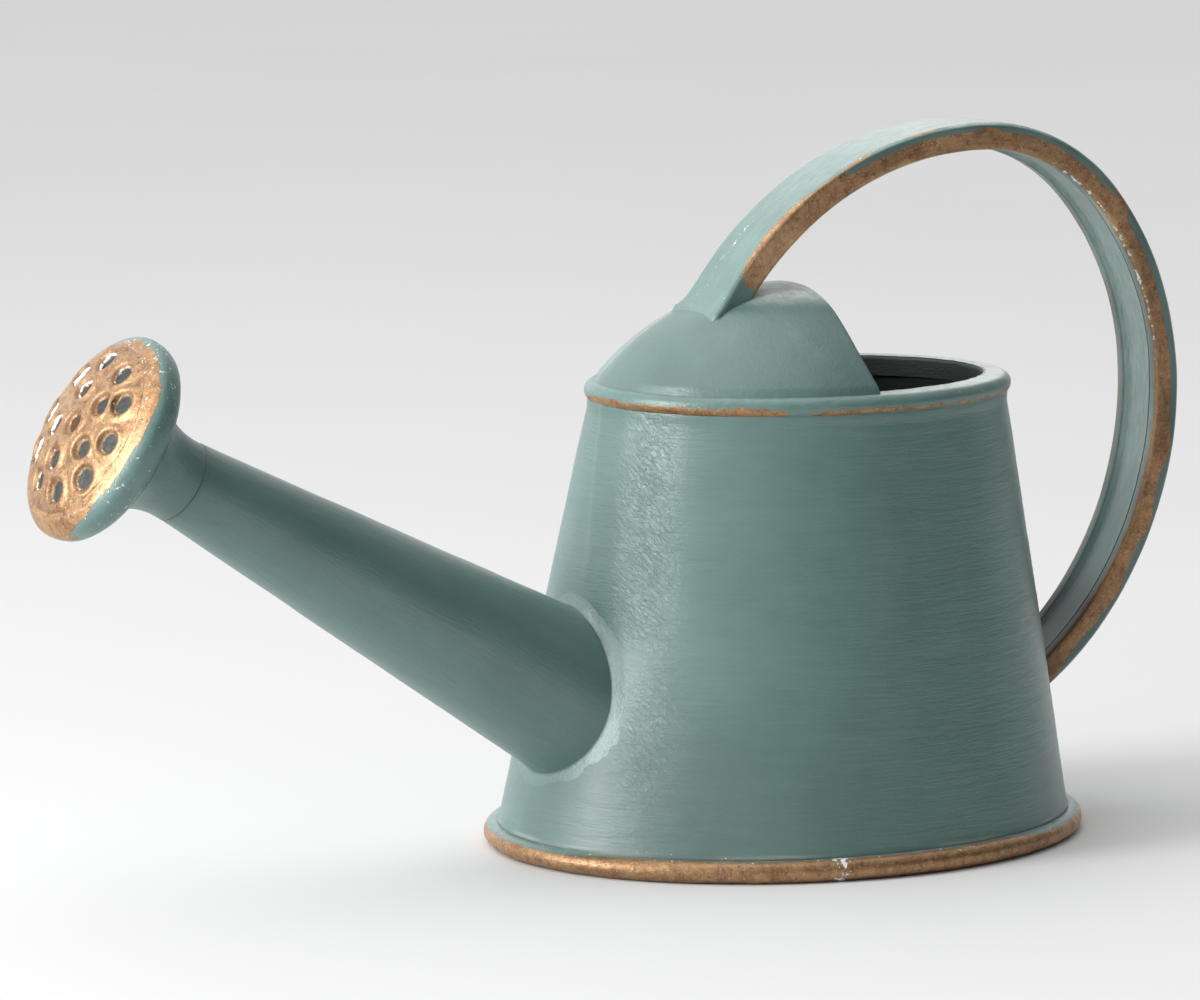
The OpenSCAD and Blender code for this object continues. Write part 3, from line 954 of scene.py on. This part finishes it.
def gold_edge(radius, points, turn_deg):
    """The gold field on the rose: positive inside the ragged line where the gold paint stops."""
    low = bell(turn_from(turn_deg, -90), 38)
    near = bell(turn_from(turn_deg, 140), 42)
    edge = 12.2 + 1.6 * low + 0.7 * near
    return (edge - radius) * 3.2 + 0.6 * noise(points, 3, 91)


def make_band():
    """The rounded band round the face, painted gold over its front edge."""
    start = np.array([FACE_EDGE, dome_station(FACE_EDGE)])
    widest = (ROSE_RADIUS, WIDEST)
    front = bezier([start, start + (1.15, -0.45), (ROSE_RADIUS, 72.75), widest], 16)
    rear = bezier([widest, (ROSE_RADIUS, 70.4), (12.9, 69.2), (11.7, BAND_BACK)], 12)[1:]
    inside = np.array([(10.8, 70.2), (10.2, 71.0), (10.2, 72.0), (10.6, dome_station(10.6) - 0.5)])
    profile = np.concatenate([front, rear, inside])
    points = spin(profile, 360)
    station, off = along_and_off(points)
    radius = np.linalg.norm(off, axis=-1)
    deg = np.degrees(np.arctan2(off @ UP, off @ SIDE))
    row = np.indices(station.shape)[0]
    shown = (row > 0) & (row < len(front) + len(rear))
    # The step between the band and the face, which shows at the bottom of the disc only
    crest = bell(radius - 12.0, 0.5) * (row < 12)
    points = points + AXIS * (0.38 * bell(turn_from(deg, -95), 40) * crest)[..., None]
    relief = (0.05 * noise(points, 4, 93) - 0.05) * shown
    points = points + off / radius[..., None] * relief[..., None]
    worn = 0.22 * bell(turn_from(deg, 100), 45) + 0.10 * bell(turn_from(deg, 205), 30)
    # Painted shade behind the band and on its hidden inside
    fields = {
        "flow": np.stack([off @ SIDE / 2, off @ UP / 2, station], -1),
        "gold": gold_edge(radius, points, deg) + NO_GOLD * (row >= len(front) + 3),
        "wear": 0.42 + worn,
        "shade_and_dirt": 0.10 * ~shown + 0.25 * bell(station - 68, 0.5),
    }
    piece(
        "rose_band", points, None, "rose",
        ["rose_rim"], rose_gold, fields,
    )


# Holes as (slope on the CAD's dome, turn) in degrees: one in the middle and two rings
CAD_DOME_RADIUS = 18.6
HOLES = [(0.0, 0.0)]
HOLES += [(15.4, 67 + 72 * k) for k in range(5)]
HOLES += [(27.5, 116 + 36 * k) for k in range(10)]
HOLE_RINGS = [0.3, 0.6, 0.85, 1.02, 1.08, 1.14, 1.2, 1.28, 1.38, 1.5, 1.62, 1.75, 1.9, 2.05, 2.2]


def crater(rho, lip):
    """Height of the skin round a hole: raised lip, inner slope, then the hole, which is filled with
    painted shade.
    """
    out = lip * bell(rho - 2.05, 0.55) * smooth((rho - 1.0) / 0.6)
    slope = -0.34 * smooth((1.90 - rho) / 0.70)
    hole = -0.10 * smooth((1.20 - rho) / 0.08)
    return out + slope + hole


def face_holes():
    """Each hole's flat place on the dome, the height of its lip and its size, all a little uneven."""
    rng = np.random.default_rng(7)
    holes = []
    for slope, turn in HOLES:
        arc = DOME_RADIUS * math.asin(math.sin(math.radians(slope)) * CAD_DOME_RADIUS / DOME_RADIUS)
        arc *= 1 + (0.02 * rng.standard_normal() if slope else 0)
        a = math.radians(turn + (2.0 * rng.standard_normal() if slope else 0))
        lip, size = 0.20 + 0.06 * rng.random(), 1 + 0.06 * rng.standard_normal()
        holes.append((arc * math.cos(a), arc * math.sin(a), lip, size))
    return np.array(holes)


def face_points(holes, edge_arc):
    """Flat points for the face: rings round each hole, and an even fill between them."""
    points = []
    for x, y, _, size in holes:
        points.append((x, y))
        for ring, radius in enumerate(HOLE_RINGS):
            count = max(8, int(2 * math.pi * radius / 0.2))
            for k in range(count):
                a = 2 * math.pi * (k + 0.5 * (ring % 2)) / count
                points.append((x + radius * size * math.cos(a), y + radius * size * math.sin(a)))
    step = 0.24
    n = int(edge_arc / step) + 2
    across = np.arange(-n, n + 1) * step
    gx, gy = np.meshgrid(across, across * 0.866, indexing="ij")
    gx = gx + 0.5 * step * (np.arange(2 * n + 1) % 2)
    fill = np.stack([gx.ravel(), gy.ravel()], -1)
    near = np.hypot(fill[:, None, 0] - holes[:, 0], fill[:, None, 1] - holes[:, 1]) / holes[:, 3]
    points = np.concatenate([np.array(points), fill[np.min(near, axis=1) > 2.3]])
    return points[np.hypot(points[:, 0], points[:, 1]) < edge_arc - 0.10]


def make_face():
    """The domed face with its dished holes, closed by a skirt and a flat back."""
    # Places on the dome are kept as flat coordinates: arc length from the apex, and turn
    edge_arc = DOME_RADIUS * math.asin(FACE_EDGE / DOME_RADIUS)
    holes = face_holes()
    count = 360
    a = around(count)
    border = np.stack([edge_arc * np.cos(a), edge_arc * np.sin(a)], -1)
    flat = np.concatenate([border, face_points(holes, edge_arc)])
    edges = [(i, (i + 1) % count) for i in range(count)]
    result = delaunay_2d_cdt([Vector(p) for p in flat], edges, [], 1, 1e-6)
    flat = np.array([tuple(v) for v in result[0]])
    faces = [list(f) for f in result[2]]
    arc = np.hypot(flat[:, 0], flat[:, 1])
    turn = np.arctan2(flat[:, 1], flat[:, 0])
    slope = arc / DOME_RADIUS
    radius = DOME_RADIUS * np.sin(slope)
    dome_centre = spout_origin + AXIS * (DOME_APEX - DOME_RADIUS)
    skin = axis_point(dome_station(radius), radius, turn)
    normal = (skin - dome_centre) / DOME_RADIUS
    height, depth, rim_near, crust, shade = np.zeros((5, len(flat)))
    for x, y, lip, size in holes:
        rho = np.hypot(flat[:, 0] - x, flat[:, 1] - y) / size
        rho = rho + 0.05 * noise(skin, 1.3, 95)
        ragged = rho + 0.10 * fractal(skin, 0.8, 96, 2)
        crusty = bell(turn_from(math.degrees(math.atan2(y, x)), 15), 75) * min(1.0, math.hypot(x, y) / 4)
        own = crater(rho, lip) - 0.40 * crusty * bell(ragged - 1.10, 0.09)
        own = own + 0.16 * crusty * bell(ragged - 1.32, 0.12)
        crust = np.maximum(crust, (0.25 + crusty) * bell(ragged - 1.33, 0.15))
        # Painted shade on one inner slope of each dish
        shaded_side = smooth((flat[:, 0] - x) / size / 0.9) * bell(rho - 1.50, 0.30)
        shade = np.maximum(shade, 0.55 * shaded_side)
        height = np.where(np.abs(own) > np.abs(height), own, height)
        depth = np.maximum(depth, smooth((1.22 - ragged) / 0.10))
        rim_near = np.maximum(rim_near, bell(rho - 1.25, 0.28))
    fade = smooth((edge_arc - arc) / 0.5)
    height = (height + 0.05 * fractal(skin, 2.2, 97, 3)) * fade
    height += 0.09 * depth * noise(skin, 0.5, 99)
    skin = skin + normal * height[:, None]
    deg = np.degrees(turn)
    # The underside: a skirt down from the border and a flat back
    skirt = axis_point(np.full(count, FACE_BACK), np.full(count, FACE_EDGE - 0.15), a)
    base = len(skin)
    border_ids = [int(np.argmin(np.hypot(*(flat - p).T))) for p in border]
    for i in range(count):
        j = (i + 1) % count
        faces.append([border_ids[i], border_ids[j], base + j, base + i])
    faces.append([base + i for i in range(count)])
    everything = np.concatenate([skin, skirt])
    station, off = along_and_off(everything)
    worn = bell(turn_from(deg, 60), 60) * smooth((arc - 3) / 6)
    # The holes are filled with painted shade, and one slope of each dish gets painted shade
    fields = {
        "gold": gold_edge(radius, skin, deg) - 30.0 * depth,
        "wear": 0.22 + 0.12 * rim_near + 1.0 * crust + 0.25 * worn,
        "shade_and_dirt": np.maximum(depth * (0.98 + 0.10 * noise(skin, 0.45, 98)), shade),
    }
    for key, values in fields.items():
        fields[key] = np.append(values, np.full(count, FIELDS[key]))
    fields["flow"] = np.stack([off @ SIDE, off @ UP, station], -1) * 0.8
    piece("rose_disc", everything, faces, "rose", ["rose_face"], rose_gold, fields, 75)


make_neck()
make_band()
make_face()


# ---------------- the handle

HANDLE_WIDTH = 9.4
HANDLE_DEPTH = 3.6
EDGE_WIDTH = 1.9
BACK_HEIGHT = 54.0
HALF_WIDTH = HANDLE_WIDTH / 2
WEB_HALF = HALF_WIDTH - EDGE_WIDTH

# Turns along the handle in degrees: 0 is level at the back, 90 is the top
HANDLE_START, HANDLE_END = -66.0, 157.0
SHOULDER_START, SHOULDER_END = 41.2, 88.3


def next_bend(bend, radius, turn):
    """The bend that takes over smoothly from another one at this turn."""
    a = math.radians(turn)
    inward = bend[2] - radius
    return (bend[0] + inward * math.cos(a), bend[1] + inward * math.sin(a), radius)


# A bend is the X and Z of its centre, and its radius
lower_bend = (strap_high[0] - 46.2, BACK_HEIGHT, 46.2)
back_bend = (strap_high[0] - 40.3, BACK_HEIGHT, 40.3)
shoulder_bend = next_bend(back_bend, 27.4, SHOULDER_START)
front_bend = next_bend(shoulder_bend, 45.4, SHOULDER_END)


def bend_at(turn):
    """The bend that the handle follows at this turn."""
    if turn < 0:
        return lower_bend
    if turn < SHOULDER_START:
        return back_bend
    return shoulder_bend if turn < SHOULDER_END else front_bend


def foot_flare(turn):
    """The handle swells softly where it stands on the hood."""
    return 0.75 * math.exp(-max(0.0, 149.5 - turn) / 1.6)


def sweep(profile, turns):
    """Sweeps (depth, across) points along the handle. Returns points and arc lengths."""
    rows, lengths = [], [0.0]
    for turn, before in zip(turns, [turns[0], *turns]):
        x, z, radius = bend_at(turn)
        lengths.append(lengths[-1] + radius * math.radians(turn - before))
        cos, sin = math.cos(math.radians(turn)), math.sin(math.radians(turn))
        grow = foot_flare(turn)
        row = []
        for depth, across in profile:
            out = radius - depth + (grow if depth < HANDLE_DEPTH / 2 else -grow)
            row.append((x + out * cos, across + grow * across / HALF_WIDTH, z + out * sin))
        rows.append(row)
    return np.array(rows), np.array(lengths[1:])


def corner(depth, across, radius, start, end, count):
    """A rounded corner as (depth, across) points; turn 0 points across and 90 points deeper."""
    turns = np.radians(np.linspace(start, end, count))
    return [(depth + radius * math.sin(a), across + radius * math.cos(a)) for a in turns]


def edge_section(side):
    """Closed profile of a rolled edge as (depth, across) points, outer face first."""
    r, small = 0.7, 0.5
    p = [(0.0, y) for y in np.linspace(WEB_HALF, HALF_WIDTH - r, 6)]
    p += corner(r, HALF_WIDTH - r, r, -78, 0, 7)
    p += [(d, HALF_WIDTH) for d in np.linspace(r + 0.3, HANDLE_DEPTH - r - 0.3, 6)]
    p += corner(HANDLE_DEPTH - r, HALF_WIDTH - r, r, 0, 90, 7)
    p += corner(HANDLE_DEPTH - small, WEB_HALF + small, small, 90, 180, 6)
    p += [(d, WEB_HALF) for d in np.linspace(HANDLE_DEPTH - 0.9, 0.3, 5)]
    return [(d, side * y) for d, y in p]


def web_section():
    """Closed profile of the web: crowned outside, and nearly flat inside."""
    p = [(-0.04 * (1 - (y / WEB_HALF) ** 2), y) for y in np.linspace(-WEB_HALF, WEB_HALF, 17)]
    p += [(0.6, WEB_HALF), (1.3, WEB_HALF)]
    p += [(2.9 + 0.6 * (y / WEB_HALF) ** 6, y) for y in np.linspace(WEB_HALF, -WEB_HALF, 13)]
    p += [(1.3, -WEB_HALF), (0.6, -WEB_HALF)]
    return p


def make_handle(name, node, section, material, is_edge):
    """One strip of the handle, closed at both ends, with its paint."""
    turns = np.arange(HANDLE_START, HANDLE_END + 0.01, 0.5)
    points, length = sweep(section, turns)
    rows, columns = points.shape[:2]
    depth, across = (np.broadcast_to(v, (rows, columns)) for v in np.array(section).T)
    turn, s = (np.broadcast_to(v[:, None], (rows, columns)) for v in (turns, length))
    a = np.radians(turn)
    radial = np.stack([np.cos(a), np.zeros_like(a), np.sin(a)], -1)
    outer_side = np.where(depth < 1.0, 1.0, np.where(depth > 3.2, -1.0, 0.0))
    relief = 0.07 * noise(points, 9, 101) + 0.035 * noise(points, 2.8, 103)
    points = points + radial * (outer_side * (relief - 0.10 * (depth < 1.0)))[..., None]
    side_way = np.where(np.abs(across) > 4.4, np.sign(across), 0.0)
    points = points + SIDE * (side_way * (relief - 0.03))[..., None]
    outer_face = (depth < 0.35).astype(float)
    inner_face = (depth > (3.3 if is_edge else 2.0)).astype(float)
    chips = bell(across - 1.6, 0.5) * outer_face * smooth((turn - 118) / 14)
    chips = chips + 0.5 * bell(np.abs(across) - 4.3, 0.5)
    # Pale on top with wear and painted sheen, painted light on the inner face, and painted shadow low on
    # both faces by the back foot
    rubbed_and_lit_top = 0.06 + 0.62 * bell(turn - 92, 24)
    lit_inside = 0.30 * smooth((turn + 28) / 20)
    shaded_low_inside, shaded_low_outside = 0.80 * smooth((-24 - turn) / 20), 0.5 * smooth((-50 - turn) / 8)
    fields = {
        "flow": np.stack([s / 6, across, depth], -1),
        "wear": 0.18 + 0.34 * chips + 0.14 * outer_face,
        "pale_paint_and_highlight": outer_face * rubbed_and_lit_top + inner_face * lit_inside,
        "shade_and_dirt": inner_face * shaded_low_inside + (1 - inner_face) * shaded_low_outside,
    }
    if is_edge:
        # Gold on the side, which spills over the front of the outer face and laps round the edge
        spill = bell(turn - 132, 11) * np.where(across > 0, 0.35, 1.0)
        back = smooth((75 - turn) / 30)
        lap = 1.75 + 0.2 * back + 1.7 * noise(np.stack([s / 5, depth, across], -1), 1.0, 105)
        lap = lap * smooth((1.65 + 0.3 * back - depth) / 0.9)
        gold = (np.abs(across) - 4.05) * 1.9 + 0.8 * spill * outer_face - lap * (1 - spill)
        fields["gold"] = gold - 4.0 * smooth((turn - 141) / 5)
        worn = bell(depth - 3.45, 0.28) * bell(np.abs(across) - 4.4, 0.35)
        fields["wear"] += 0.55 * worn * smooth(turn / 15) * smooth((72 - turn) / 15)
        fields["pale_paint_and_highlight"] += 0.16 * bell(turn - 135, 6) * (depth > 0.3)
        sooty = 0.30 + 0.30 * noise(np.stack([s / 4, depth, across], -1), 2.0, 107)
        fields["shade_and_dirt"] += sooty * (depth > 0.5) * (1 - bell(turn - 136, 12))
    faces = grid_faces(rows, columns, False, True).tolist()
    faces += [range(columns)[::-1], range((rows - 1) * columns, rows * columns)]
    piece(name, points, faces, "can", [node], material, fields, 40)


make_handle("handle_web", "handle_strap", web_section(), handle_paint, False)
make_handle("handle_rail_left", "handle_edge_left", edge_section(-1), handle_gold, True)
make_handle("handle_rail_right", "handle_edge_right", edge_section(1), handle_gold, True)


# ---------------- the base keeps its CAD solid

base = frame["nodes"]["base_plate"]
base.data.materials.clear()
base.data.materials.append(base_paint)


# ---------------- floor, light and camera

# The middle of the can and spout, which the lights face
LIT_POINT = Vector((-0.02, 0, 0.04))


def make_floor():
    """A wide round floor, just under the can, in rings that are finer near it."""
    rings, columns, size, level = 40, 96, 12000.0, -0.05
    points = [(0.0, 0.0, level)]
    for k in range(1, rings + 1):
        r = size * (k / rings) ** 2.5
        points += [(r * math.cos(a), r * math.sin(a), level) for a in around(columns)]
    faces = [[0, 1 + i, 1 + (i + 1) % columns] for i in range(columns)]
    faces += (grid_faces(rings, columns, False, True)[:, ::-1] + 1).tolist()
    mesh = new_mesh("floor", np.array(points), faces)
    s = Shader(bpy.data.materials.new("pale_floor"))
    where = s.node("TexCoord", {}).outputs["Object"]
    colour = s.mix(s.noise(where, 6.0, 2, 0.5), (0.69, 0.69, 0.69, 1), (0.73, 0.73, 0.73, 1))
    mesh.materials.append(s.finish(Base_Color=colour, Roughness=0.9))
    put("floor", mesh)


def place(thing, location, backwards):
    """Puts a light or camera here, with its back in this direction."""
    thing.location = location
    thing.rotation_mode = "QUATERNION"
    thing.rotation_quaternion = (-backwards).to_track_quat("-Z", "Y")


def area_light(name, towards, distance, size, power):
    """A soft light in this direction from the can, aimed at it."""
    data = bpy.data.lights.new(name, "AREA")
    data.shape = "RECTANGLE"
    data.size, data.size_y = size
    data.energy = power
    d = Vector(towards).normalized()
    place(put(name, data), LIT_POINT + d * distance, d)


def make_world():
    """White surroundings, brighter behind and on the left, darker at the right front."""
    world = bpy.data.worlds.new("studio")
    bpy.context.scene.world = world
    s = Shader(world)
    where = s.node("TexCoord", {}).outputs["Generated"]
    brighter = (-0.62, 0.72, 0.20)
    dot = s.node("VectorMath", {0: where, 1: brighter}, operation="DOT_PRODUCT").outputs["Value"]
    levels = {"Value": dot, "From Min": -0.75, "From Max": 0.5, "To Min": 0.03, "To Max": 1.3}
    level = s.node("MapRange", levels).outputs["Result"]
    shade = s.node("Background", {"Color": (1, 1, 1, 1), "Strength": level}).outputs[0]
    s.node("OutputWorld", {0: shade})


make_floor()
make_world()
area_light("key", (-0.945, 0.07, 0.32), 0.75, (0.26, 0.62), 5.7)
area_light("overhead", (-0.15, 0.15, 1.0), 0.85, (0.9, 0.7), 1.1)

CAMERA_AZIMUTH, CAMERA_ELEVATION = math.radians(-30.107), math.radians(8.254)
CAMERA_PLACE = (-0.43618, -0.70534, 0.16295)
camera_data = bpy.data.cameras.new("camera")
camera_data.sensor_width = 36.0
camera_data.lens = 198.33
camera_data.clip_start, camera_data.clip_end = 0.05, 60
camera = put("camera", camera_data)
level = math.cos(CAMERA_ELEVATION)
camera_back = (
    math.sin(CAMERA_AZIMUTH) * level, -math.cos(CAMERA_AZIMUTH) * level, math.sin(CAMERA_ELEVATION)
)
place(camera, CAMERA_PLACE, Vector(camera_back))
bpy.context.scene.camera = camera
bpy.context.scene.view_settings.view_transform = "Standard"
